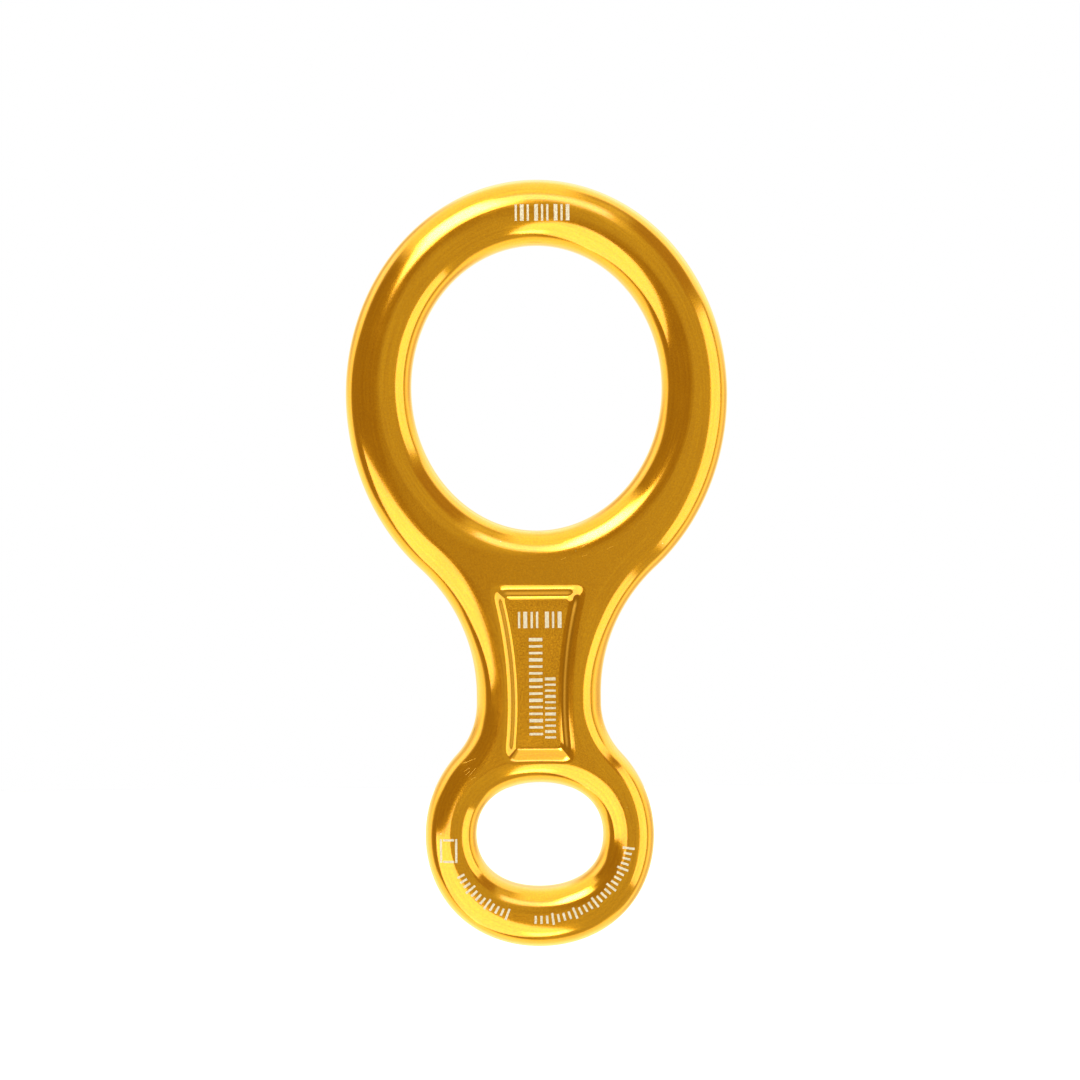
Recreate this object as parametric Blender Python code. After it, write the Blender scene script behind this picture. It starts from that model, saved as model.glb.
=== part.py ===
"""Figure-of-eight rope descender: one forged aluminium piece with a large rope ring on top, a
waisted neck with a shallow sunk panel on each face, and a small harness eye below.

Frame: +Z runs up the long axis, -Y is the front face, and the origin is the seat at the top of
the large ring's hole, at mid thickness, where a rope or a hook holds the piece up. Heights
named ..._Z are measured from the centre of the large ring's hole, and placed() moves them to
that origin.
"""

import math

import bmesh
import bpy

MM = 0.001

# Section of the forging
THICKNESS = 11.0 * MM
EDGE_RADIUS = 4.3 * MM
EDGE_STEPS = 4

# Large ring: its hole is centred at height 0
ROPE_HOLE_HALF_WIDTH = 22.4 * MM
ROPE_HOLE_HALF_HEIGHT = 25.5 * MM
RING_Z = -1.05 * MM
RING_HALF_WIDTH = 34.1 * MM
RING_RISE = 38.25 * MM
RING_DROP = 39.55 * MM

# Neck: the straight stretch between the two fillets that blend it into the ring and the eye. Each
# fillet touches its oval at an angle between the shallow and the steep one, found by halving
NECK_HALF_WIDTH = 11.1 * MM
NECK_TOP_Z = -54.8 * MM
NECK_BOTTOM_Z = -56.2 * MM
SHALLOW_TOUCH = math.radians(20)
STEEP_TOUCH = math.radians(70)
HALVINGS = 60

# Small eye
EYE_Z = -79.9 * MM
EYE_HALF_WIDTH = 20.45 * MM
EYE_RISE = 20.9 * MM
EYE_DROP = 19.9 * MM
EYE_FOOT_SQUARENESS = 2.1
HARNESS_HOLE_Z = -79.8 * MM
HARNESS_HOLE_HALF_WIDTH = 11.3 * MM
HARNESS_HOLE_HALF_HEIGHT = 9.3 * MM
HARNESS_HOLE_SQUARENESS = 2.2

# Sunk panel on the neck, the same on both faces
PANEL_DEPTH = 1.8 * MM
PANEL_WAIST_Z = -56.0 * MM
PANEL_SIDE_RADIUS = 75.0 * MM
PANEL_SQUARENESS = 7.0
FLOOR_TOP_Z = -38.1 * MM
FLOOR_BOTTOM_Z = -63.8 * MM
FLOOR_WAIST_HALF_WIDTH = 3.4 * MM
LIP_TOP_Z = -34.7 * MM
LIP_BOTTOM_Z = -67.0 * MM
LIP_WAIST_HALF_WIDTH = 6.2 * MM
CUTTER_OVERRUN = 2.0 * MM

# Points along each stretch of outline
QUARTER_POINTS = 14
FILLET_POINTS = 10
ROPE_HOLE_POINTS = 60
HARNESS_HOLE_POINTS = 40
PANEL_POINTS = 48

# Anodised finish
ANODISED_GOLD = (0.86, 0.42, 0.03, 1.0)
ANODISED_ROUGHNESS = 0.22

ROUND = 2.0
DOUBLES = 0.000001
SMOOTH_ANGLE = math.radians(35)


def placed(x, z):
    """A point given from the centre of the large hole, in the part's own frame."""
    return x, z - ROPE_HOLE_HALF_HEIGHT


def signed_power(value, power):
    return math.copysign(abs(value) ** power, value)


def oval_point(angle, half_width, half_height, squareness=ROUND):
    """A point on an ellipse, or on a squarer oval for a squareness above 2."""
    power = 2.0 / squareness
    x = half_width * signed_power(math.cos(angle), power)
    z = half_height * signed_power(math.sin(angle), power)
    return x, z


def oval_arc(centre_z, half_width, half_height, start, end, count, squareness=ROUND):
    """Points along an oval from the start angle up to, and without, the end angle."""
    points = []
    for i in range(count):
        x, z = oval_point(start + (end - start) * i / count, half_width, half_height, squareness)
        points.append((x, centre_z + z))
    return points


def touching_arc(centre_z, half_width, half_height, neck_z, low, high):
    """The arc that leaves an ellipse and the neck's side both on a tangent.

    Returns the angle on the ellipse where they touch, and the arc's radius. The arc's centre is
    level with neck_z, one radius outside the neck's side, and one radius out from the ellipse
    along its normal. The angle lies between low and high.
    """

    def miss(angle):
        x, z = oval_point(angle, half_width, half_height)
        normal_x, normal_z = x / half_width**2, z / half_height**2
        length = math.hypot(normal_x, normal_z)
        radius = (neck_z - centre_z - z) / (normal_z / length)
        return x + radius * (normal_x / length - 1.0) - NECK_HALF_WIDTH, radius

    rising = miss(high)[0] > miss(low)[0]
    for _ in range(HALVINGS):
        middle = (low + high) / 2.0
        if (miss(middle)[0] > 0.0) == rising:
            high = middle
        else:
            low = middle
    return low, miss(low)[1]


def fillet_arc(neck_z, radius, touch_x, touch_z, count):
    """Points on a fillet, from where it touches its oval to the neck's side."""
    centre_x = NECK_HALF_WIDTH + radius
    start = math.atan2(touch_z - neck_z, touch_x - centre_x) % math.tau
    points = []
    for i in range(count + 1):
        angle = start + (math.pi - start) * i / count
        points.append((centre_x + radius * math.cos(angle), neck_z + radius * math.sin(angle)))
    return points


def outer_outline():
    """The outer edge, clockwise from the top: the right side, then its mirror image."""
    ring_touch, ring_fillet = touching_arc(
        RING_Z, RING_HALF_WIDTH, RING_DROP, NECK_TOP_Z, -STEEP_TOUCH, -SHALLOW_TOUCH
    )
    eye_touch, eye_fillet = touching_arc(
        EYE_Z, EYE_HALF_WIDTH, EYE_RISE, NECK_BOTTOM_Z, SHALLOW_TOUCH, STEEP_TOUCH
    )
    ring_x, ring_z = oval_point(ring_touch, RING_HALF_WIDTH, RING_DROP)
    eye_x, eye_z = oval_point(eye_touch, EYE_HALF_WIDTH, EYE_RISE)
    quarter = math.pi / 2

    right = oval_arc(RING_Z, RING_HALF_WIDTH, RING_RISE, quarter, 0.0, QUARTER_POINTS)
    right += oval_arc(RING_Z, RING_HALF_WIDTH, RING_DROP, 0.0, ring_touch, QUARTER_POINTS)
    right += fillet_arc(NECK_TOP_Z, ring_fillet, ring_x, RING_Z + ring_z, FILLET_POINTS)
    right += reversed(fillet_arc(NECK_BOTTOM_Z, eye_fillet, eye_x, EYE_Z + eye_z, FILLET_POINTS)[1:])
    right += oval_arc(EYE_Z, EYE_HALF_WIDTH, EYE_RISE, eye_touch, 0.0, QUARTER_POINTS)
    right += oval_arc(
        EYE_Z, EYE_HALF_WIDTH, EYE_DROP, 0.0, -quarter, QUARTER_POINTS, EYE_FOOT_SQUARENESS
    )
    bottom = (0.0, EYE_Z - EYE_DROP)
    left = [(-x, z) for x, z in reversed(right[1:])]
    return right + [bottom] + left


def hole_outline(centre_z, half_width, half_height, count, squareness=ROUND):
    return oval_arc(centre_z, half_width, half_height, 0.0, math.tau, count, squareness)


def panel_outline(top_z, bottom_z, waist_half_width):
    """A rectangle with rounded corners whose sides are drawn in to a waist."""
    middle_z = (top_z + bottom_z) / 2.0
    half_height = (top_z - bottom_z) / 2.0
    points = []
    for x, z in oval_arc(
        middle_z, waist_half_width, half_height, 0.0, math.tau, PANEL_POINTS, PANEL_SQUARENESS
    ):
        flare = (z - PANEL_WAIST_Z) ** 2 / (2.0 * PANEL_SIDE_RADIUS)
        points.append((x * (1.0 + flare / waist_half_width), z))
    return points


def new_collection(name):
    collection = bpy.data.collections.new(name)
    bpy.context.scene.collection.children.link(collection)
    return collection


def add_outline(curve, outline):
    spline = curve.splines.new("POLY")
    spline.points.add(len(outline) - 1)
    for point, (x, z) in zip(spline.points, outline):
        point.co = (*placed(x, z), 0.0, 1.0)
    spline.use_cyclic_u = True


def forged_blank(collection):
    """The outline and both holes as one rounded plate, turned to stand in the XZ plane."""
    curve = bpy.data.curves.new("blank", "CURVE")
    curve.dimensions = "2D"
    curve.fill_mode = "BOTH"
    curve.extrude = THICKNESS / 2.0 - EDGE_RADIUS
    curve.bevel_depth = EDGE_RADIUS
    curve.bevel_resolution = EDGE_STEPS
    curve.offset = -EDGE_RADIUS
    add_outline(curve, outer_outline())
    add_outline(
        curve, hole_outline(0.0, ROPE_HOLE_HALF_WIDTH, ROPE_HOLE_HALF_HEIGHT, ROPE_HOLE_POINTS)
    )
    add_outline(
        curve,
        hole_outline(
            HARNESS_HOLE_Z,
            HARNESS_HOLE_HALF_WIDTH,
            HARNESS_HOLE_HALF_HEIGHT,
            HARNESS_HOLE_POINTS,
            HARNESS_HOLE_SQUARENESS,
        ),
    )
    drawn = bpy.data.objects.new("blank", curve)
    drawn.rotation_euler.x = math.pi / 2
    collection.objects.link(drawn)
    return mesh_from_curve(drawn, "descender_body", collection)


def mesh_from_curve(drawn, name, collection):
    """Turns a curve object into a welded mesh object in the same place."""
    bpy.context.view_layer.update()
    evaluated = drawn.evaluated_get(bpy.context.evaluated_depsgraph_get())
    mesh = bpy.data.meshes.new_from_object(evaluated)
    mesh.name = name
    sheet = bmesh.new()
    sheet.from_mesh(mesh)
    bmesh.ops.remove_doubles(sheet, verts=sheet.verts, dist=DOUBLES)
    sheet.to_mesh(mesh)
    sheet.free()
    solid = bpy.data.objects.new(name, mesh)
    solid.matrix_world = drawn.matrix_world.copy()
    collection.objects.link(solid)
    bpy.data.objects.remove(drawn)
    return solid


def panel_cutter(name, side, collection):
    """A loft from the panel's floor out to its lip, and on past the face. side is -1 or 1."""
    face_y = THICKNESS / 2.0
    floor = panel_outline(FLOOR_TOP_Z, FLOOR_BOTTOM_Z, FLOOR_WAIST_HALF_WIDTH)
    lip = panel_outline(LIP_TOP_Z, LIP_BOTTOM_Z, LIP_WAIST_HALF_WIDTH)
    sections = [(floor, face_y - PANEL_DEPTH), (lip, face_y), (lip, face_y + CUTTER_OVERRUN)]
    loft = bmesh.new()
    loops = []
    for outline, depth in sections:
        verts = []
        for point_x, point_z in outline:
            x, z = placed(point_x, point_z)
            verts.append(loft.verts.new((x, side * depth, z)))
        loops.append(verts)
    for inner, outer in zip(loops, loops[1:]):
        for i in range(PANEL_POINTS):
            j = (i + 1) % PANEL_POINTS
            loft.faces.new((inner[i], inner[j], outer[j], outer[i]))
    loft.faces.new(loops[0])
    loft.faces.new(loops[-1])
    bmesh.ops.recalc_face_normals(loft, faces=loft.faces)
    mesh = bpy.data.meshes.new(name)
    loft.to_mesh(mesh)
    loft.free()
    cutter = bpy.data.objects.new(name, mesh)
    cutter.hide_render = True
    cutter.display_type = "WIRE"
    collection.objects.link(cutter)
    return cutter


def cut(solid, cutter):
    boolean = solid.modifiers.new(cutter.name, "BOOLEAN")
    boolean.operation = "DIFFERENCE"
    boolean.solver = "EXACT"
    boolean.object = cutter


def anodised_material():
    material = bpy.data.materials.new("anodised_aluminium")
    material.use_nodes = True
    shader = material.node_tree.nodes["Principled BSDF"]
    shader.inputs["Base Color"].default_value = ANODISED_GOLD
    shader.inputs["Roughness"].default_value = ANODISED_ROUGHNESS
    shader.inputs["Metallic"].default_value = 1.0
    return material


def main():
    for old in list(bpy.data.objects):
        bpy.data.objects.remove(old)
    parts = new_collection("rope_descender")
    cutters = new_collection("cutters")
    body = forged_blank(parts)
    cut(body, panel_cutter("front_panel_cutter", -1.0, cutters))
    cut(body, panel_cutter("back_panel_cutter", 1.0, cutters))
    body.data.materials.clear()
    body.data.materials.append(anodised_material())
    body.data.shade_smooth()
    body.data.set_sharp_from_angle(angle=SMOOTH_ANGLE)


main()
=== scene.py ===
"""Looks of the figure-of-eight rope descender: a polished, gold anodised aluminium forging.

The visual body is one closed mesh. Its outline and its sunk panels follow the CAD solid, whose
facets it rounds off. Its section is worked out point by point: the height of the face over the mid
plane follows from the distance to each edge and to the panel. Normals come from the same formulas,
so that the reflections run clean.

Lengths below are in millimetres of the object, from the centre of the rope hole. MM turns them
into metres, from the length of the CAD solid.
"""

import math

import bpy
import numpy as np
from mathutils import Matrix, Vector, kdtree
from mathutils.geometry import delaunay_2d_cdt


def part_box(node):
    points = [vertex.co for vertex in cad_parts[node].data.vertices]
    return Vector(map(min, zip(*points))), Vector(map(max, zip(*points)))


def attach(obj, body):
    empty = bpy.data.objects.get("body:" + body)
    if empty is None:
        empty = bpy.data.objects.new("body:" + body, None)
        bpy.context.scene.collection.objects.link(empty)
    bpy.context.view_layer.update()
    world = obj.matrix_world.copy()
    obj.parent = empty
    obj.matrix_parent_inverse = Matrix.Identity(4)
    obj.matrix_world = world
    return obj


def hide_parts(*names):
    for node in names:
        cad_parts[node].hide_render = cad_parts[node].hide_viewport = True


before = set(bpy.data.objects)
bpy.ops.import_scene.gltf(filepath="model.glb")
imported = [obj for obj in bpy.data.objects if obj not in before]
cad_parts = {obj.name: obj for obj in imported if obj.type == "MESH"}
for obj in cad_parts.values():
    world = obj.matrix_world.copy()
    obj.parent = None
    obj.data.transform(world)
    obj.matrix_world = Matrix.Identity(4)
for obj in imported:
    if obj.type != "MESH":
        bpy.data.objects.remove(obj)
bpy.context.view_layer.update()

NODE = "descender_body"
node_low, node_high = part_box(NODE)

# Outline, as in the CAD. An oval's size is its half width and half height, and a rise or a drop is
# how far an oval reaches above or below its own centre.
LENGTH = 137.0
ROPE_HOLE = (22.4, 25.5)
RING_Z = -1.05
RING_HALF_WIDTH = 34.1
RING_RISE = 38.25
RING_DROP = 39.55
NECK_HALF_WIDTH = 11.1
NECK_TOP_Z = -54.8
NECK_BOTTOM_Z = -56.2
SHALLOW_TOUCH = math.radians(20.0)
STEEP_TOUCH = math.radians(70.0)
EYE_Z = -79.9
EYE_HALF_WIDTH = 20.45
EYE_RISE = 20.9
EYE_DROP = 19.9
EYE_FOOT_BULGE = 0.016
HARNESS_HOLE_Z = -79.8
HARNESS_HOLE = (11.3, 9.3)
HARNESS_HOLE_BULGE = 0.032

MM = (node_high[2] - node_low[2]) / LENGTH

# Rounded edges. They are wider on the ring than on the eye, and their flank leans in at the neck.
HALF_THICKNESS = (node_high[1] - node_low[1]) / 2.0 / MM
RIM_HALF_HEIGHT = 0.45
RING_EDGE_WIDTH = 5.85
EYE_EDGE_WIDTH = 4.7
EDGE_CHANGE_Z = (-32.0, -50.0)
EDGE_FULLNESS = 2.3
EDGE_FLANK = 0.5
NECK_FLANK = 0.8
NECK_FLANK_Z = -55.0
NECK_FLANK_REACH = 14.0

# Sunk panel. The two rounds are shares of the wall's width. WALL_TILT is where, in mean slopes of
# the wall, a painted shade starts to darken the colour and where it is down to PANEL_WALL_LIGHT.
PANEL_DEPTH = 1.8
PANEL_WAIST_Z = -56.0
PANEL_SIDE_RADIUS = 75.0
PANEL_FLOOR_Z = (-38.1, -63.8)
PANEL_FLOOR_HALF_WIDTH = 3.3
PANEL_WALL = 2.9
PANEL_END_WALL = 3.4
PANEL_FOOT_ROUND = 0.42
PANEL_LIP_ROUND = 0.58
PANEL_CORNER = 0.9
PANEL_CORNER_POWER = 3.5
PANEL_WALL_LIGHT = 0.85
WALL_TILT = (1.0, 1.6)

# Marks and scratches. The ticks' angles are the first, the last and the step, in degrees.
MARK_HEIGHT = 2.9
TICK_ANGLES = (-8.0, -156.0, -3.7)
TICK_GAP = range(24, 28)
TICK_LONG, TICK_SHORT, TICK_WIDTH = 2.1, 1.4, 0.4
FRAME_PLACE = (-16.2, -82.2)
FRAME_HALF_SIZE = (1.35, 2.1)
FRAME_LINE = 0.38
SCRATCH_WIDTH = 0.05
SCRATCH_LENGTH = (0.9, 2.4)
SCRATCH_TURN = 0.25

# Finish: sizes in metres, bumps in microns
MICRON = 0.000001
GOLD_DARK = (0.70, 0.295, 0.010)
GOLD_LIGHT = (1.0, 0.515, 0.024)
GOLD_SPECK = (1.0, 0.72, 0.35)
SCRATCH_DARK = (0.88, 0.44, 0.035)
SCRATCH_LIGHT = (0.97, 0.58, 0.13)
MARK_DARK = (0.39, 0.34, 0.25)
MARK_LIGHT = (0.51, 0.47, 0.38)
STREAKS_PER_MM = 2.6
STREAK_LENGTH = 0.011
STREAK_CONTRAST = 0.85
STREAK_FADE = (7.5, 4.5)
STREAK_BUMP = 10.0
GRAIN_SIZE = 0.00028
BROAD_SIZE = 0.016
BROAD_CONTRAST = 0.3
HAZE_SIZE = 0.0045
SPECK_SPACING = 0.0022
SPECK_SHARE = 0.12
SPECK_SIZE = 0.00013

# Mesh. Halvings are the rounds of a bisection, and the centre guard keeps the distance to an edge
# finite at the edge's centre of curvature. The clearances keep free points off the rows.
HALVINGS = 40
ROUGH_SAMPLES = 200
EDGE_SAMPLE = 0.03
DERIVATIVE_STEP = 1e-4
CENTRE_GUARD = 0.05
RIM_STEP = 0.55
RIM_ROWS = 4
RIM_ROW_ANGLE = math.radians(6.0)
RIM_CLEARANCE = 0.25
PANEL_ROWS = 20
PANEL_ROW_STEP = 0.25
PANEL_RAYS = 4000
PANEL_REACH = 30.0
PANEL_CLEARANCE = 2.5 * PANEL_WALL / PANEL_ROWS
PANEL_FLOOR_MARGIN = 0.1
LATTICE_STEP = 0.55
MARK_STEP = 0.5
MERGE_DISTANCE = 1e-5
BODY_SLOT, PANEL_SLOT, MARK_SLOT, SCRATCH_SLOT = range(4)


# ---------------------------------------------------------------- outline


def oval(centre_z, half_width, half_height, bulge=0.0):
    """A function from angles to points on an ellipse, fuller on its diagonals by the bulge."""

    def point(angle):
        reach = 1.0 + bulge * np.sin(2.0 * angle) ** 2
        x = half_width * np.cos(angle) * reach
        z = centre_z + half_height * np.sin(angle) * reach
        return np.stack([x, z], axis=-1)

    return point


def circle(centre_x, centre_z, radius):
    """A function from angles to points on a circle."""

    def point(angle):
        x, z = centre_x + radius * np.cos(angle), centre_z + radius * np.sin(angle)
        return np.stack([x, z], axis=-1)

    return point


def line(start, end):
    """A function from shares of the way to points on a straight line."""

    def point(share):
        return np.array(start) + (np.array(end) - np.array(start)) * np.asarray(share)[..., None]

    return point


def mirrored(point):
    return lambda t: point(t) * np.array([-1.0, 1.0])


def touching_arc(centre_z, half_width, half_height, neck_z, low, high):
    """The angle on an ellipse and the radius of the arc that joins it to the neck's side."""

    def miss(angle):
        x, z = half_width * math.cos(angle), half_height * math.sin(angle)
        normal_x, normal_z = x / half_width**2, z / half_height**2
        length = math.hypot(normal_x, normal_z)
        radius = (neck_z - centre_z - z) / (normal_z / length)
        return x + radius * (normal_x / length - 1.0) - NECK_HALF_WIDTH, radius

    rising = miss(high)[0] > miss(low)[0]
    for _ in range(HALVINGS):
        middle = (low + high) / 2.0
        if (miss(middle)[0] > 0.0) == rising:
            high = middle
        else:
            low = middle
    return low, miss(low)[1]


def outer_pieces():
    """The outer edge as pieces (function, start, end), clockwise from the top."""
    quarter = math.pi / 2
    ring_angle, ring_radius = touching_arc(
        RING_Z, RING_HALF_WIDTH, RING_DROP, NECK_TOP_Z, -STEEP_TOUCH, -SHALLOW_TOUCH
    )
    eye_angle, eye_radius = touching_arc(
        EYE_Z, EYE_HALF_WIDTH, EYE_RISE, NECK_BOTTOM_Z, SHALLOW_TOUCH, STEEP_TOUCH
    )
    ring_top = oval(RING_Z, RING_HALF_WIDTH, RING_RISE)
    ring_low = oval(RING_Z, RING_HALF_WIDTH, RING_DROP)
    ring_fillet = circle(NECK_HALF_WIDTH + ring_radius, NECK_TOP_Z, ring_radius)
    eye_fillet = circle(NECK_HALF_WIDTH + eye_radius, NECK_BOTTOM_Z, eye_radius)
    eye_top = oval(EYE_Z, EYE_HALF_WIDTH, EYE_RISE)
    eye_low = oval(EYE_Z, EYE_HALF_WIDTH, EYE_DROP, EYE_FOOT_BULGE)

    def angle_from(centre_x, centre_z, at):
        return math.atan2(at[1] - centre_z, at[0] - centre_x) % math.tau

    ring_touch = ring_low(np.array(ring_angle))
    eye_touch = eye_top(np.array(eye_angle))
    right = [
        (ring_top, quarter, 0.0),
        (ring_low, 0.0, ring_angle),
        (ring_fillet, angle_from(NECK_HALF_WIDTH + ring_radius, NECK_TOP_Z, ring_touch), math.pi),
        (line((NECK_HALF_WIDTH, NECK_TOP_Z), (NECK_HALF_WIDTH, NECK_BOTTOM_Z)), 0.0, 1.0),
        (eye_fillet, math.pi, angle_from(NECK_HALF_WIDTH + eye_radius, NECK_BOTTOM_Z, eye_touch)),
        (eye_top, eye_angle, 0.0),
        (eye_low, 0.0, -quarter),
    ]
    left = [(mirrored(point), end, start) for point, start, end in reversed(right)]
    return right + left


class Edge:
    """One closed edge of the outline, sampled finely, with the direction into the metal and the
    curvature at each sample. Distances to it are exact to well under a micron."""

    def __init__(self, pieces, metal_on_right):
        side = 1.0 if metal_on_right else -1.0
        places, inward, curves = [], [], []
        for point, start, end in pieces:
            rough = point(np.linspace(start, end, ROUGH_SAMPLES))
            length = np.linalg.norm(np.diff(rough, axis=0), axis=1).sum()
            t = np.linspace(start, end, max(2, int(length / EDGE_SAMPLE)), endpoint=False)
            delta = (end - start) * DERIVATIVE_STEP
            ahead, behind, here = point(t + delta), point(t - delta), point(t)
            first = (ahead - behind) / 2.0
            second = ahead - 2.0 * here + behind
            speed = np.linalg.norm(first, axis=1)
            tangent = first / speed[:, None]
            normal = np.stack([tangent[:, 1], -tangent[:, 0]], axis=1) * side
            places.append(here)
            inward.append(normal)
            curves.append((second * normal).sum(axis=1) / speed**2)
        self.places = np.concatenate(places)
        self.inward = np.concatenate(inward)
        self.curves = np.concatenate(curves)
        self.tree = kdtree.KDTree(len(self.places))
        for i, (x, z) in enumerate(self.places):
            self.tree.insert((x, z, 0.0), i)
        self.tree.balance()
        steps = np.linalg.norm(np.diff(self.places, axis=0, append=self.places[:1]), axis=1)
        self.along = np.concatenate([[0.0], np.cumsum(steps)])

    def distance(self, points):
        """Distance from the edge into the metal, and its gradient."""
        nearest = np.array([self.tree.find((x, z, 0.0))[1] for x, z in points])
        offset = points - self.places[nearest]
        normal = self.inward[nearest]
        tangent = np.stack([-normal[:, 1], normal[:, 0]], axis=1)
        depth = (offset * normal).sum(axis=1)
        drift = (offset * tangent).sum(axis=1)
        curve = self.curves[nearest]
        shrink = np.maximum(1.0 - curve * depth, CENTRE_GUARD)
        swing = drift / shrink
        gradient = normal - tangent * (curve * swing)[:, None]
        gradient /= np.linalg.norm(gradient, axis=1)[:, None]
        return depth - 0.5 * curve * drift * swing, gradient

    def spaced(self, step):
        """Indices of samples about one step apart."""
        total = self.along[-1]
        wanted = np.arange(round(total / step)) * total / round(total / step)
        return np.searchsorted(self.along[:-1], wanted).clip(0, len(self.places) - 1)


OUTER = Edge(outer_pieces(), True)
FULL_TURN = (math.tau, 0.0)
ROPE_EDGE = Edge([(oval(0.0, *ROPE_HOLE), *FULL_TURN)], False)
HARNESS_EDGE = Edge([(oval(HARNESS_HOLE_Z, *HARNESS_HOLE, HARNESS_HOLE_BULGE), *FULL_TURN)], False)
EDGES = (OUTER, ROPE_EDGE, HARNESS_EDGE)


# ---------------------------------------------------------------- section


def smooth(share):
    """0 below 0, 1 above 1, with a smooth rise between."""
    share = np.clip(share, 0.0, 1.0)
    return share * share * (3.0 - 2.0 * share)


def edge_width(z):
    """Width of the rounded edge at a height, and its slope along z."""
    top, bottom = EDGE_CHANGE_Z
    share = np.clip((top - z) / (top - bottom), 0.0, 1.0)
    change = EYE_EDGE_WIDTH - RING_EDGE_WIDTH
    slope = 6.0 * share * (1.0 - share) * change / (bottom - top)
    return RING_EDGE_WIDTH + change * smooth(share), slope


def flank(z):
    """Exponent of the edge's profile at a height, and its slope along z. A half makes an ellipse,
    and more makes a flank that leans in from the rim."""
    share = np.clip(1.0 - np.abs(z - NECK_FLANK_Z) / NECK_FLANK_REACH, 0.0, 1.0)
    rate = -np.sign(z - NECK_FLANK_Z) * 6.0 * share * (1.0 - share) / NECK_FLANK_REACH
    change = NECK_FLANK - EDGE_FLANK
    return EDGE_FLANK + change * smooth(share), change * rate


def panel_distance(points):
    """Distance out from the foot of the panel's wall, and its gradient. It is squeezed at the ends,
    so that the wall counts as PANEL_WALL wide all round."""
    x, z = points[:, 0], points[:, 1]
    top, bottom = PANEL_FLOOR_Z
    middle, half = (top + bottom) / 2.0, (top - bottom) / 2.0
    squeeze = PANEL_WALL / PANEL_END_WALL
    flare = (z - PANEL_WAIST_Z) ** 2 / (2.0 * PANEL_SIDE_RADIUS)
    side = np.abs(x) - flare - (PANEL_FLOOR_HALF_WIDTH - PANEL_CORNER)
    end = (np.abs(z - middle) - half) * squeeze + PANEL_CORNER
    side_out, end_out = np.maximum(side, 0.0), np.maximum(end, 0.0)
    power = PANEL_CORNER_POWER
    reach = (side_out**power + end_out**power) ** (1.0 / power)
    value = reach + np.minimum(np.maximum(side, end), 0.0) - PANEL_CORNER
    safe = np.maximum(reach, 1e-9)
    by_side = (side_out / safe) ** (power - 1.0)
    by_end = (end_out / safe) ** (power - 1.0)
    grad_x = by_side * np.sign(x)
    grad_z = by_end * squeeze * np.sign(z - middle)
    grad_z -= by_side * (z - PANEL_WAIST_Z) / PANEL_SIDE_RADIUS
    return value, np.stack([grad_x, grad_z], axis=1)


def panel_sink(out):
    """Depth of the panel below the face at a distance from the wall's foot, and its slope: a
    rounded foot, a straight slant and a rounded lip, in shares of the wall's width."""
    share = np.clip(out / PANEL_WALL, 0.0, 1.0)
    foot, lip = PANEL_FOOT_ROUND, PANEL_LIP_ROUND
    steepest = 1.0 / (1.0 - foot / 2.0 - lip / 2.0)
    in_foot, in_lip = np.clip(share / foot, 0.0, 1.0), np.clip((1.0 - share) / lip, 0.0, 1.0)
    rate = steepest * np.where(share < foot, smooth(in_foot), smooth(in_lip))
    foot_rise = foot * (in_foot**3 - in_foot**4 / 2.0)
    lip_rise = lip * (0.5 - in_lip**3 + in_lip**4 / 2.0)
    slant = np.clip(share - foot, 0.0, 1.0 - foot - lip)
    rise = steepest * (foot_rise + slant + lip_rise)
    return PANEL_DEPTH * (1.0 - rise), -PANEL_DEPTH * rate / PANEL_WALL


def section(points):
    """Half thickness at points of the outline's inside, the outward normal of the back face, the
    distance to the nearest edge, and the share of colour kept under the painted shade on the
    panel's steep wall."""
    width, width_slope = edge_width(points[:, 1])
    fullness = np.ones(len(points))
    nearest = np.full(len(points), np.inf)
    terms = []
    for edge in EDGES:
        depth, gradient = edge.distance(points)
        share = np.clip(1.0 - depth / width, 0.0, 1.0)
        value = 1.0 - share**EDGE_FULLNESS
        rate = EDGE_FULLNESS * share ** (EDGE_FULLNESS - 1.0) / width
        slope = gradient * rate[:, None]
        slope[:, 1] -= rate * np.clip(depth, 0.0, None) / width * width_slope
        terms.append((value, slope))
        fullness *= value
        nearest = np.minimum(nearest, depth)
    slope = np.zeros_like(points)
    for i, (value, own) in enumerate(terms):
        others = np.ones(len(points))
        for j, (other, _) in enumerate(terms):
            if j != i:
                others *= other
        slope += own * others[:, None]
    power, power_slope = flank(points[:, 1])
    fullness = np.clip(fullness, 1e-12, None)
    rise = (HALF_THICKNESS - RIM_HALF_HEIGHT) * fullness**power
    out, out_gradient = panel_distance(points)
    sunk, sunk_slope = panel_sink(out)
    height = RIM_HALF_HEIGHT + rise - sunk
    gradient = (rise * power / fullness)[:, None] * slope - sunk_slope[:, None] * out_gradient
    gradient[:, 1] += rise * np.log(fullness) * power_slope
    normal = np.stack([-gradient[:, 0], np.ones(len(points)), -gradient[:, 1]], axis=1)
    normal /= np.maximum(np.linalg.norm(normal, axis=1), 1e-12)[:, None]
    # Painted shade: the colour darkens on the steepest part of the panel's wall, as if the recess
    # shaded it.
    tilt = -sunk_slope * PANEL_WALL / PANEL_DEPTH
    start, full = WALL_TILT
    shade = 1.0 - (1.0 - PANEL_WALL_LIGHT) * smooth((tilt - start) / (full - start))
    return height, normal, nearest, shade


# ---------------------------------------------------------------- marks


def mark_bar(centre, along, length, width):
    """A bar's four corners, centred, with its long side in the direction along."""
    along = np.array(along) / np.linalg.norm(along)
    across = np.array([-along[1], along[0]])
    centre = np.array(centre)
    half_long, half_wide = along * length / 2.0, across * width / 2.0
    return [
        centre - half_long - half_wide,
        centre + half_long - half_wide,
        centre + half_long + half_wide,
        centre - half_long + half_wide,
    ]


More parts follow.
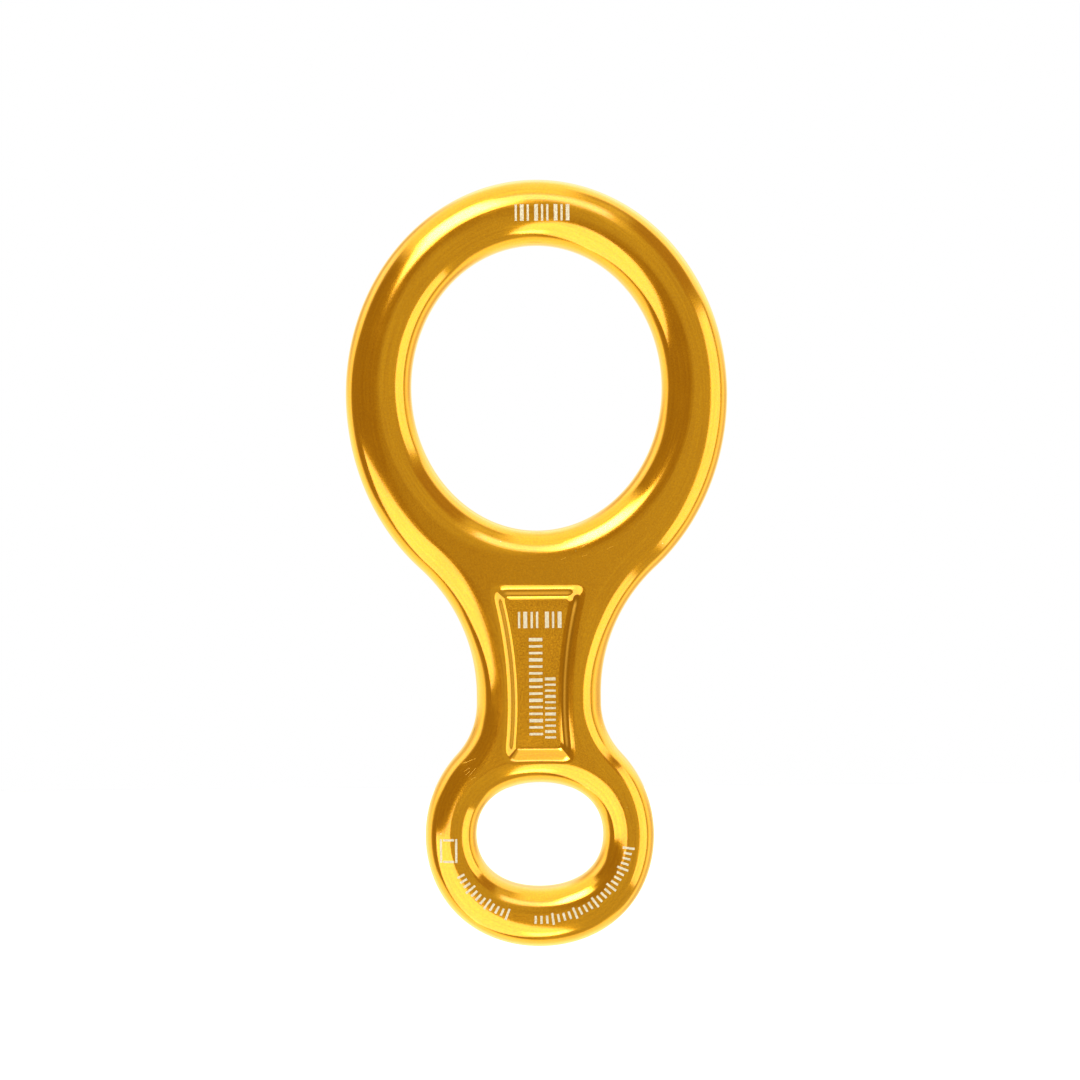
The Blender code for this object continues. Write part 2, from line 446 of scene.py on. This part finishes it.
def bar_row(x, z, widths, gaps):
    """Upright bars side by side, from x on."""
    marks = []
    for width, gap in zip(widths, gaps):
        marks.append(mark_bar((x + width / 2.0, z), (0.0, 1.0), MARK_HEIGHT, width))
        x += width + gap
    return marks


def ladder(x, top, bottom, width, pitch, thin, thick):
    """Level bars one above the other, every third one thick."""
    marks = []
    for i, z in enumerate(np.arange(top, bottom, -pitch)):
        marks.append(mark_bar((x, z), (1.0, 0.0), width, thin if i % 3 else thick))
    return marks


def ring_marks():
    """A row of upright bars at the top of the ring."""
    widths = (0.38, 0.65, 0.38, 0.65, 0.38, 0.38, 0.65, 0.38, 0.65)
    gaps = (0.55, 0.55, 0.95, 0.55, 0.55, 0.95, 0.55, 0.55, 0.0)
    return bar_row(x=-3.6, z=30.85, widths=widths, gaps=gaps)


def panel_marks():
    """A short row of bars over two ladders, on the panel's floor."""
    widths = (0.4, 0.7, 0.4, 0.4, 0.7, 0.4, 0.7)
    gaps = (0.55, 0.6, 0.55, 1.2, 0.55, 0.6, 0.0)
    row = bar_row(x=-3.6, z=-41.4, widths=widths, gaps=gaps)
    left = ladder(x=-0.5, top=-44.9, bottom=-62.4, width=2.4, pitch=1.2, thin=0.42, thick=0.6)
    right = ladder(x=2.05, top=-51.9, bottom=-62.4, width=1.9, pitch=1.04, thin=0.36, thick=0.52)
    return row + left + right


def eye_marks():
    """Ticks like those of a scale round the small eye, and a small frame at its left."""
    marks = []
    mid_band = (np.array(HARNESS_HOLE) + np.array([EYE_HALF_WIDTH, EYE_DROP])) / 2.0
    for i, angle in enumerate(np.radians(np.arange(*TICK_ANGLES))):
        if i in TICK_GAP:
            continue
        out = np.array([math.cos(angle), math.sin(angle)])
        length = TICK_SHORT if i % 4 else TICK_LONG
        marks.append(mark_bar(np.array([0.0, EYE_Z]) + out * mid_band, out, length, TICK_WIDTH))
    (x, z), (half_width, half_height) = FRAME_PLACE, FRAME_HALF_SIZE
    level_z, level_length = half_height - FRAME_LINE / 2.0, 2.0 * (half_width - FRAME_LINE)
    for side in (-1.0, 1.0):
        upright, level = (x + side * half_width, z), (x, z + side * level_z)
        marks.append(mark_bar(upright, (0.0, 1.0), 2.0 * half_height, FRAME_LINE))
        marks.append(mark_bar(level, (1.0, 0.0), level_length, FRAME_LINE))
    return marks


def scratches():
    """Hair lines from use: a few on the web, and more over the eye's upper left."""
    random = np.random.default_rng(5)
    lines = []

    def scatter(count, middle, spread, tilt):
        for _ in range(count):
            centre = np.array(middle) + random.uniform(-1.0, 1.0, 2) * spread
            angle = tilt + random.normal(0.0, SCRATCH_TURN)
            along = (math.cos(angle), math.sin(angle))
            lines.append(mark_bar(centre, along, random.uniform(*SCRATCH_LENGTH), SCRATCH_WIDTH))

    scatter(5, middle=(9.5, -30.0), spread=(5.5, 2.2), tilt=0.5)
    scatter(6, middle=(-12.9, -67.6), spread=(1.6, 1.8), tilt=0.8)
    return lines


# ---------------------------------------------------------------- mesh


def lattice(step, low, high):
    """Points of an even triangle lattice."""
    rows = []
    row_step = step * math.sqrt(3.0) / 2.0
    for i, z in enumerate(np.arange(low[1], high[1], row_step)):
        shift = step / 2.0 if i % 2 else 0.0
        xs = np.arange(low[0] + shift, high[0], step)
        rows.append(np.stack([xs, np.full(len(xs), z)], axis=1))
    return np.concatenate(rows)


def edge_depth(points):
    """Distance from the nearest edge into the metal."""
    return np.stack([edge.distance(points)[0] for edge in EDGES]).min(axis=0)


def face_points():
    """Free points of a face: an even lattice, except on the panel's wall."""
    low, high = OUTER.places.min(axis=0), OUTER.places.max(axis=0)
    points = lattice(LATTICE_STEP, low, high)
    out = panel_distance(points)[0]
    points = points[(out > PANEL_WALL + PANEL_CLEARANCE) | (out < -PANEL_CLEARANCE)]
    return points[edge_depth(points) > rim_depth(RIM_ROWS) + RIM_CLEARANCE]


def panel_row(value, heading):
    """Where rays from the panel's middle reach a value of the panel's distance."""
    middle = np.array([0.0, sum(PANEL_FLOOR_Z) / 2.0])
    low, high = np.zeros(len(heading)), np.full(len(heading), PANEL_REACH)
    for _ in range(HALVINGS):
        reach = (low + high) / 2.0
        outside = panel_distance(middle + heading * reach[:, None])[0] > value
        low, high = np.where(outside, low, reach), np.where(outside, reach, high)
    return middle + heading * low[:, None]


def panel_rows():
    """Closed rows of points round the panel's wall, from its foot to its lip, on common rays."""
    rays = np.linspace(0.0, math.tau, PANEL_RAYS, endpoint=False)
    heading = np.stack([np.cos(rays), np.sin(rays)], axis=1)
    curve = panel_row(PANEL_WALL / 2.0, heading)
    steps = np.linalg.norm(np.diff(curve, axis=0, append=curve[:1]), axis=1)
    along = np.concatenate([[0.0], np.cumsum(steps)])
    count = round(along[-1] / PANEL_ROW_STEP)
    picked = np.searchsorted(along, along[-1] * np.arange(count) / count).clip(0, len(rays) - 1)
    values = PANEL_WALL * np.arange(-1, PANEL_ROWS + 2) / PANEL_ROWS
    return [panel_row(value, heading[picked]) for value in values]


def rim_depth(row):
    """How far in from the edge a rim row lies. The rows crowd where the metal turns fastest."""
    return EYE_EDGE_WIDTH * (1.0 - math.cos(row * RIM_ROW_ANGLE))


def rim_loops(edge):
    """The closed rows of points next to an edge, from the edge in."""
    picked = edge.spaced(RIM_STEP)
    places, inward = edge.places[picked], edge.inward[picked]
    return [places + inward * rim_depth(row) for row in range(RIM_ROWS + 1)]


def subdivided(corners, step):
    """Points about a step apart round a closed shape."""
    points = []
    for start, end in zip(corners, corners[1:] + corners[:1]):
        count = max(1, round(np.linalg.norm(end - start) / step))
        points += [start + (end - start) * i / count for i in range(count)]
    return points


def triangulate(loops, marks):
    """Triangles of a face between its innermost rim loops. Returns the points, the triangles, the
    mark that each triangle lies in, -1 for none, and the loops as indices of points."""
    points, edges, faces = list(face_points()), [], []
    loop_starts = []
    for loop in loops + panel_rows():
        start = len(points)
        loop_starts.append(start)
        points += list(loop)
        edges += [(start + i, start + (i + 1) % len(loop)) for i in range(len(loop))]
    for corners in marks:
        start = len(points)
        points += subdivided(corners, MARK_STEP)
        faces.append(list(range(start, len(points))))
    coords = [Vector((float(x), float(z))) for x, z in points]
    made, _, triangles, sources, _, owners = delaunay_2d_cdt(
        coords, edges, faces, 0, MERGE_DISTANCE
    )
    made = np.array([tuple(p) for p in made])
    inside = edge_depth(made[np.array(triangles)].mean(axis=1)) > 0.9 * rim_depth(RIM_ROWS)
    kept = [(t, o[0] if o else -1) for t, o, keep in zip(triangles, owners, inside) if keep]
    place_of = {}
    for new, olds in enumerate(sources):
        for old in olds:
            place_of[old] = new
    loop_ids = [
        [place_of[start + i] for i in range(len(loop))] for start, loop in zip(loop_starts, loops)
    ]
    return made, [t for t, _ in kept], [m for _, m in kept], loop_ids


def body_mesh():
    """The closed body: a front and a back face, joined round each edge by its rim rows."""
    verts, normals, faces, slots, depths, shades = [], [], [], [], [], []

    def add(points, side):
        """Adds points to the face on one side, -1 for the front, and returns their indices."""
        heights, directions, nearest, shade = section(points)
        first = len(verts)
        for (x, z), height, direction in zip(points, heights, directions):
            verts.append((x * MM, side * height * MM, (z - ROPE_HOLE[1]) * MM))
            normals.append((direction[0], side * direction[1], direction[2]))
        depths.extend(nearest)
        shades.extend(shade)
        return list(range(first, first + len(points)))

    loops = [rim_loops(edge) for edge in EDGES]
    levels = [[] for _ in EDGES]
    marks, lines = ring_marks() + panel_marks() + eye_marks(), scratches()
    for side, drawn in ((-1.0, marks + lines), (1.0, [])):
        points, triangles, owners, loop_ids = triangulate([rows[-1] for rows in loops], drawn)
        ids = add(points, side)
        middles = points[np.array(triangles)].mean(axis=1)
        floor = panel_distance(middles)[0] < PANEL_FLOOR_MARGIN
        for triangle, owner, low in zip(triangles, owners, floor):
            corners = [ids[i] for i in triangle]
            faces.append(corners if side < 0 else corners[::-1])
            if owner < 0:
                slots.append(PANEL_SLOT if low else BODY_SLOT)
            else:
                slots.append(MARK_SLOT if owner < len(marks) else SCRATCH_SLOT)
        for level, rows, loop in zip(levels, loops, loop_ids):
            own = [[ids[i] for i in loop]] + [add(row, side) for row in rows[-2::-1]]
            level += own if side < 0 else own[::-1]
    for level in levels:
        for upper, lower in zip(level, level[1:]):
            for i in range(len(upper)):
                j = (i + 1) % len(upper)
                faces.append([upper[i], upper[j], lower[j], lower[i]])
                slots.append(BODY_SLOT)
    mesh = bpy.data.meshes.new("descender")
    mesh.from_pydata(verts, [], faces)
    mesh.polygons.foreach_set("material_index", slots)
    # The second attribute carries the painted shade of the panel's steep wall into the material.
    for name, values in (("edge_depth", depths), ("painted_wall_light", shades)):
        mesh.attributes.new(name, "FLOAT", "POINT").data.foreach_set("value", values)
    return mesh, np.array(normals)


def oriented(mesh, normals):
    """Turns faces whose winding disagrees with the worked-out normals, then sets those normals."""
    flips = []
    for polygon in mesh.polygons:
        wanted = normals[list(polygon.vertices)].sum(axis=0)
        if polygon.normal.dot(Vector(wanted)) < 0.0:
            flips.append(polygon.index)
    for index in flips:
        mesh.polygons[index].flip()
    mesh.update()
    mesh.shade_smooth()
    mesh.normals_split_custom_set_from_vertices([tuple(n) for n in normals])


# ---------------------------------------------------------------- materials


class Graph:
    """Short ways to add nodes to a node tree. A value is a number, a colour or another node's
    output."""

    def __init__(self, tree):
        self.tree = tree

    def feed(self, socket, value):
        if isinstance(value, (int, float)):
            socket.default_value = value
        elif isinstance(value, tuple):
            socket.default_value = (*value, 1.0)
        else:
            self.tree.links.new(value, socket)

    def math(self, operation, *values):
        node = self.tree.nodes.new("ShaderNodeMath")
        node.operation = operation
        for socket, value in zip(node.inputs, values):
            self.feed(socket, value)
        return node.outputs[0]

    def step(self, value, low, high):
        """0 below low, 1 above high, smooth between; falls instead where high is below low."""
        node = self.tree.nodes.new("ShaderNodeMapRange")
        node.interpolation_type = "SMOOTHSTEP"
        node.inputs["From Min"].default_value = min(low, high)
        node.inputs["From Max"].default_value = max(low, high)
        node.inputs["To Min"].default_value = 0.0 if low < high else 1.0
        node.inputs["To Max"].default_value = 1.0 if low < high else 0.0
        self.feed(node.inputs["Value"], value)
        return node.outputs["Result"]

    def blend(self, under, over, mask, kind="MIX"):
        node = self.tree.nodes.new("ShaderNodeMix")
        node.data_type = "RGBA"
        node.blend_type = kind
        for i, value in ((0, mask), (6, under), (7, over)):
            self.feed(node.inputs[i], value)
        return node.outputs[2]

    def object_place(self):
        return self.tree.nodes.new("ShaderNodeTexCoord").outputs["Object"]

    def attribute(self, name):
        node = self.tree.nodes.new("ShaderNodeAttribute")
        node.attribute_name = name
        return node.outputs["Fac"]

    def noise(self, place, scale, detail=2.0):
        node = self.tree.nodes.new("ShaderNodeTexNoise")
        self.feed(node.inputs["Vector"], place)
        self.feed(node.inputs["Scale"], scale)
        self.feed(node.inputs["Detail"], detail)
        return node.outputs["Fac"]

    def streaks(self, place):
        """Noise about 0, drawn out along the edges like the lines that polishing leaves. It fades
        towards the middle of the web."""
        split = self.tree.nodes.new("ShaderNodeSeparateXYZ")
        join = self.tree.nodes.new("ShaderNodeCombineXYZ")
        self.feed(split.inputs[0], place)
        depth = self.attribute("edge_depth")
        self.feed(join.inputs[0], self.math("MULTIPLY", depth, STREAKS_PER_MM))
        self.feed(join.inputs[1], self.math("MULTIPLY", split.outputs[0], 1.0 / STREAK_LENGTH))
        self.feed(join.inputs[2], self.math("MULTIPLY", split.outputs[2], 1.0 / STREAK_LENGTH))
        centred = self.math("SUBTRACT", self.noise(join.outputs[0], 1.0, 3.0), 0.5)
        return self.math("MULTIPLY", centred, self.step(depth, *STREAK_FADE))

    def specks(self, place, spacing, share, size):
        """1 on sparse round specks, 0 elsewhere. Share is how many of the spots at that spacing
        show."""
        node = self.tree.nodes.new("ShaderNodeTexVoronoi")
        self.feed(node.inputs["Vector"], place)
        self.feed(node.inputs["Scale"], 1.0 / spacing)
        near = self.step(node.outputs["Distance"], size / spacing, 0.6 * size / spacing)
        split = self.tree.nodes.new("ShaderNodeSeparateXYZ")
        self.feed(split.inputs[0], node.outputs["Color"])
        return self.math("MULTIPLY", near, self.math("LESS_THAN", split.outputs[0], share))


def new_material(name):
    """A material, its graph and its shader's inputs."""
    material = bpy.data.materials.new(name)
    material.use_nodes = True
    tree = material.node_tree
    return material, Graph(tree), tree.nodes["Principled BSDF"].inputs


def gold_material(name, roughness, grain_contrast, grain_bump):
    """Anodised metal under a clear coat: streaked and grained, broadly uneven, with dust specks,
    and darkened by painted shade on the panel's steep wall.
    """
    material, graph, inputs = new_material(name)
    place = graph.object_place()
    streaks = graph.streaks(place)
    grain = graph.math("SUBTRACT", graph.noise(place, 1.0 / GRAIN_SIZE), 0.5)
    broad = graph.math("SUBTRACT", graph.noise(place, 1.0 / BROAD_SIZE, 3.0), 0.5)
    tone = graph.math("MULTIPLY_ADD", streaks, STREAK_CONTRAST, 0.5)
    tone = graph.math("MULTIPLY_ADD", grain, grain_contrast, tone)
    tone = graph.math("MULTIPLY_ADD", broad, BROAD_CONTRAST, tone)
    colour = graph.blend(GOLD_DARK, GOLD_LIGHT, tone)
    speck = graph.specks(place, SPECK_SPACING, SPECK_SHARE, SPECK_SIZE)
    colour = graph.blend(colour, GOLD_SPECK, speck)
    # Painted shade: the colour is multiplied by the wall's share of kept light, darker on the
    # panel's steep wall.
    light = graph.tree.nodes.new("ShaderNodeCombineXYZ")
    for socket in light.inputs:
        graph.feed(socket, graph.attribute("painted_wall_light"))
    colour = graph.blend(colour, light.outputs[0], 1.0, "MULTIPLY")
    clouds = graph.noise(place, 1.0 / HAZE_SIZE, 4.0)
    haze = graph.math("MULTIPLY_ADD", clouds, roughness, roughness * 0.5)
    height = graph.math("MULTIPLY", grain, grain_bump)
    height = graph.math("MULTIPLY_ADD", streaks, STREAK_BUMP, height)
    bump = graph.tree.nodes.new("ShaderNodeBump")
    bump.inputs["Strength"].default_value = 1.0
    bump.inputs["Distance"].default_value = MICRON
    graph.feed(bump.inputs["Height"], height)
    graph.feed(inputs["Metallic"], 1.0)
    graph.feed(inputs["Coat Weight"], 1.0)
    graph.feed(inputs["Base Color"], colour)
    graph.feed(inputs["Roughness"], haze)
    graph.feed(inputs["Normal"], bump.outputs["Normal"])
    return material


def mottled_material(name, dark, light, contrast, metallic, roughness):
    """A plain material between two tones, in grains. It fills the marks and the scratches."""
    material, graph, inputs = new_material(name)
    grain = graph.noise(graph.object_place(), 1.0 / GRAIN_SIZE)
    share = graph.step(grain, 0.5 - contrast, 0.5 + contrast)
    graph.feed(inputs["Base Color"], graph.blend(dark, light, share))
    graph.feed(inputs["Metallic"], metallic)
    graph.feed(inputs["Roughness"], roughness)
    return material


def build_body():
    """The visible body. It stays out of its own reflections, which came out too red."""
    mesh, normals = body_mesh()
    oriented(mesh, normals)
    body = bpy.data.objects.new("descender", mesh)
    bpy.context.scene.collection.objects.link(body)
    for material in (
        gold_material("anodised_gold", roughness=0.13, grain_contrast=0.9, grain_bump=4.0),
        gold_material("panel_floor_gold", roughness=0.2, grain_contrast=2.2, grain_bump=12.0),
        mottled_material("laser_mark", MARK_DARK, MARK_LIGHT, 0.2, 0.0, 0.5),
        mottled_material("fine_scratch", SCRATCH_DARK, SCRATCH_LIGHT, 0.15, 1.0, 0.45),
    ):
        mesh.materials.append(material)
    body.visible_glossy = False
    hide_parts(NODE)
    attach(body, "root")
    return body


# ---------------------------------------------------------------- studio


class Studio(Graph):
    """The world as a studio round the object. A direction is given by its azimuth round the
    object's face, 0 to the right and 90 up, and by its angle off the line to the camera."""

    def __init__(self):
        world = bpy.data.worlds.new("studio")
        bpy.context.scene.world = world
        world.use_nodes = True
        super().__init__(world.node_tree)
        self.background = self.tree.nodes["Background"]
        where = self.tree.nodes.new("ShaderNodeTexCoord")
        split = self.tree.nodes.new("ShaderNodeSeparateXYZ")
        self.tree.links.new(where.outputs["Generated"], split.inputs[0])
        self.right, self.back, self.up = split.outputs
        turned = self.math("ARCTAN2", self.up, self.right)
        self.azimuth = self.math("MULTIPLY", turned, 180.0 / math.pi)
        off = self.math("ARCCOSINE", self.math("MULTIPLY", self.back, -1.0))
        self.off_axis = self.math("MULTIPLY", off, 180.0 / math.pi)

    def sides(self, start, end, soft_start, soft_end):
        """1 between two azimuths, in degrees anticlockwise from start to end, with soft ends."""
        from_middle = self.math("SUBTRACT", self.azimuth, (start + end) / 2.0)
        turned = self.math("WRAP", from_middle, 180.0, -180.0)
        half = (end - start) / 2.0
        rising = self.step(turned, -half - soft_start, -half + soft_start)
        return self.math("MULTIPLY", rising, self.step(turned, half + soft_end, half - soft_end))

    def card(self, azimuths, off_axes, soft_sides, soft_depths):
        """1 between two azimuths and two angles off the line to the camera, with soft edges."""
        (near, far), (soft_near, soft_far) = off_axes, soft_depths
        low = self.step(self.off_axis, near - soft_near, near + soft_near)
        high = self.step(self.off_axis, far + soft_far, far - soft_far)
        across = self.sides(*azimuths, *soft_sides)
        return self.math("MULTIPLY", across, self.math("MULTIPLY", low, high))


def build_world():
    """What the metal reflects, chosen to give the photo's highlights. The camera sees white."""
    studio = Studio()
    on_right = studio.step(studio.right, -0.12, 0.06)
    light = studio.blend((0.41, 0.295, 0.06), (0.615, 0.545, 0.17), on_right)

    # A pale backdrop behind the object lights the rims. It starts further back at both sides, is
    # whiter above, and dims straight behind.
    start = studio.math("MULTIPLY_ADD", studio.sides(-50.0, 28.0, 8.0, 4.0), 11.0, 93.0)
    start = studio.math("MULTIPLY_ADD", studio.sides(165.0, 205.0, 8.0, 6.0), 10.0, start)
    behind = studio.step(studio.math("SUBTRACT", studio.off_axis, start), -8.0, 8.0)
    tone = studio.blend((1.5, 1.41, 0.68), (1.6, 1.58, 1.2), studio.step(studio.up, 0.1, 0.6))
    light = studio.blend(light, tone, behind)
    light = studio.blend(light, (1.1, 1.0, 0.55), studio.step(studio.off_axis, 138.0, 160.0))

    # Cards, each over the ones before it: a dark one at the upper right, two pale ones above, a
    # bright one over the ring's top, and two dark ones behind that give the back its contrast.
    for colour, *shape in (
        ((0.48, 0.35, 0.10), (29.0, 57.0), (42.0, 90.0), (3.0, 4.0), (6.0, 6.0)),
        ((0.85, 0.80, 0.33), (58.0, 78.0), (25.0, 84.0), (4.0, 6.0), (8.0, 8.0)),
        ((1.5, 1.45, 0.85), (76.0, 137.0), (54.0, 120.0), (6.0, 4.0), (8.0, 8.0)),
        ((2.1, 2.05, 3.0), (64.0, 108.0), (31.0, 53.0), (3.0, 5.0), (6.0, 8.0)),
        ((0.95, 0.8, 0.32), (-56.0, 14.0), (122.0, 148.0), (14.0, 14.0), (9.0, 9.0)),
        ((0.95, 0.8, 0.32), (118.0, 174.0), (120.0, 148.0), (14.0, 14.0), (9.0, 9.0)),
    ):
        light = studio.blend(light, colour, studio.card(*shape))
    seen = studio.tree.nodes.new("ShaderNodeLightPath").outputs["Is Camera Ray"]
    studio.feed(studio.background.inputs["Color"], studio.blend(light, (1.0, 1.0, 1.0), seen))


# Power of a softbox in watts per square metre, at radiance 1
RADIANCE_UNIT = 2.5


def softbox(name, place, facing, tall, width, height, radiance, soft):
    """A rectangular area light. Its place is in metres from the middle of the rope hole, its height
    runs along tall, and its edges fade over the share soft of its half size."""
    data = bpy.data.lights.new(name, "AREA")
    data.shape = "RECTANGLE"
    data.size, data.size_y = width, height
    data.energy = RADIANCE_UNIT * width * height
    data.use_nodes = True
    graph = Graph(data.node_tree)
    where = graph.tree.nodes.new("ShaderNodeNewGeometry")
    split = graph.tree.nodes.new("ShaderNodeSeparateXYZ")
    graph.feed(split.inputs[0], where.outputs["Parametric"])
    strength = radiance
    for axis in (0, 1):
        offset = graph.math("MULTIPLY_ADD", split.outputs[axis], 2.0, -1.0)
        fade = graph.step(graph.math("ABSOLUTE", offset), 1.0, 1.0 - soft)
        strength = graph.math("MULTIPLY", fade, strength)
    graph.feed(graph.tree.nodes["Emission"].inputs["Strength"], strength)
    light = bpy.data.objects.new(name, data)
    bpy.context.scene.collection.objects.link(light)
    light.location = Vector(place) + ring_middle()
    light.rotation_mode = "QUATERNION"
    back = -Vector(facing).normalized()
    across = Vector(tall).cross(back).normalized()
    axes = Matrix((across, back.cross(across), back)).transposed()
    light.rotation_quaternion = axes.to_quaternion()
    light.visible_camera = False


def ring_middle():
    return Vector((0.0, 0.0, -ROPE_HOLE[1] * MM))


def toward(azimuth, off_axis, distance):
    """A place in the direction given as in Studio, from the middle of the rope hole."""
    azimuth, off_axis = math.radians(azimuth), math.radians(off_axis)
    flat, front = math.sin(off_axis) * distance, math.cos(off_axis) * distance
    return Vector((flat * math.cos(azimuth), -front, flat * math.sin(azimuth)))


def build_softboxes():
    """A long reflection on the right, a large one at the lower left with a small bright one below
    the eye, and a hard sheen at the ring's upper left."""
    up = (0.0, 0.0, 1.0)
    softbox(
        "right_softbox", place=(0.3, -0.122, -0.066), facing=(-1.0, 0.0, 0.0), tall=up,
        width=0.29, height=0.436, radiance=1.55, soft=0.14,
    )
    low_left, away = toward(242.0, 58.7, 0.522), toward(226.0, 48.0, 1.0)
    softbox(
        "low_left_softbox", place=low_left, facing=-away, tall=up,
        width=0.68, height=0.697, radiance=2.0, soft=0.08,
    )
    low = toward(272.0, 63.0, 0.42)
    softbox(
        "low_kicker", place=low, facing=-low, tall=up,
        width=0.11, height=0.12, radiance=3.2, soft=0.5,
    )
    azimuth, off_axis = 119.0, 42.5
    high_left, outward = toward(azimuth, off_axis, 0.5), toward(azimuth, off_axis + 90.0, 1.0)
    softbox(
        "high_left_softbox", place=high_left, facing=-high_left, tall=outward,
        width=0.26, height=0.43, radiance=13.0, soft=0.72,
    )


def build_floor():
    """A plain pale floor, well below the object, which hangs."""
    drop, half_size = 0.22, 3.0
    mesh = bpy.data.meshes.new("floor")
    z = node_low[2] - drop
    corners = [(x * half_size, y * half_size, z) for x, y in ((-1, -1), (1, -1), (1, 1), (-1, 1))]
    mesh.from_pydata(corners, [], [(0, 1, 2, 3)])
    floor = bpy.data.objects.new("floor", mesh)
    bpy.context.scene.collection.objects.link(floor)
    material, graph, inputs = new_material("pale_floor")
    graph.feed(inputs["Base Color"], (0.95, 0.95, 0.95))
    graph.feed(inputs["Roughness"], 0.9)
    graph.feed(inputs["Emission Color"], (1.0, 1.0, 1.0))
    graph.feed(inputs["Emission Strength"], 0.6)
    mesh.materials.append(material)
    floor.visible_glossy = False
    floor.visible_shadow = False


def build_camera():
    """A long lens square to the front, rolled a little as in the photo."""
    distance, lens, sensor = 0.537, 100.0, 36.0
    aim_right, aim_up = 0.43 * MM, 4.1 * MM
    roll = math.radians(-0.45)
    middle_z = (node_low[2] + node_high[2]) / 2.0
    data = bpy.data.cameras.new("camera")
    data.lens, data.sensor_width = lens, sensor
    camera = bpy.data.objects.new("camera", data)
    bpy.context.scene.collection.objects.link(camera)
    camera.location = (aim_right, -distance, middle_z + aim_up)
    camera.rotation_mode = "QUATERNION"
    upright = Vector((0.0, 1.0, 0.0)).to_track_quat("-Z", "Y")
    camera.rotation_quaternion = upright @ Matrix.Rotation(roll, 4, "Z").to_quaternion()
    bpy.context.scene.camera = camera


def main():
    bpy.context.scene.view_settings.view_transform = "Standard"
    build_camera()
    build_world()
    build_softboxes()
    build_floor()
    build_body()


main()
